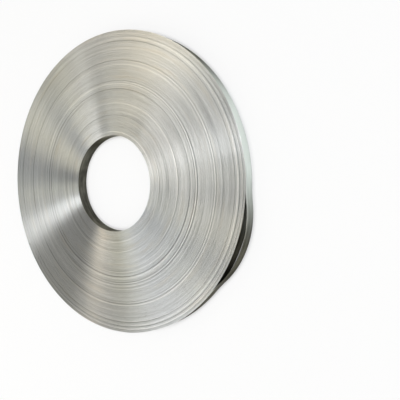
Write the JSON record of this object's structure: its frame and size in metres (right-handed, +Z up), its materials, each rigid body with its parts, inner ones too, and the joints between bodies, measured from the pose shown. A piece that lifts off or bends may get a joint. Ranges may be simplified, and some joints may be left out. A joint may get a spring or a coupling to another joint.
{
  "type": "steel coil",
  "caption": "Narrow coil of bright slit steel strip wound on an open bore, with ringed ends and a last turn that stands off in a loose bow.",
  "frame": {"origin": "on the bore axis, at the lower end that the coil lies on", "axes": "+Z up along the bore axis; the middle of the loose bow is 248 degrees round from +X, counter-clockwise as the upper end is seen"},
  "size_m": [1.5759, 1.5782, 0.0622],
  "materials": {
    "steel_strip": "bright mill finish, with the slit edges of the turns showing on both ends"
  },
  "bodies": {
    "root": {"strip_coil": "steel_strip"}
  },
  "joints": []
}
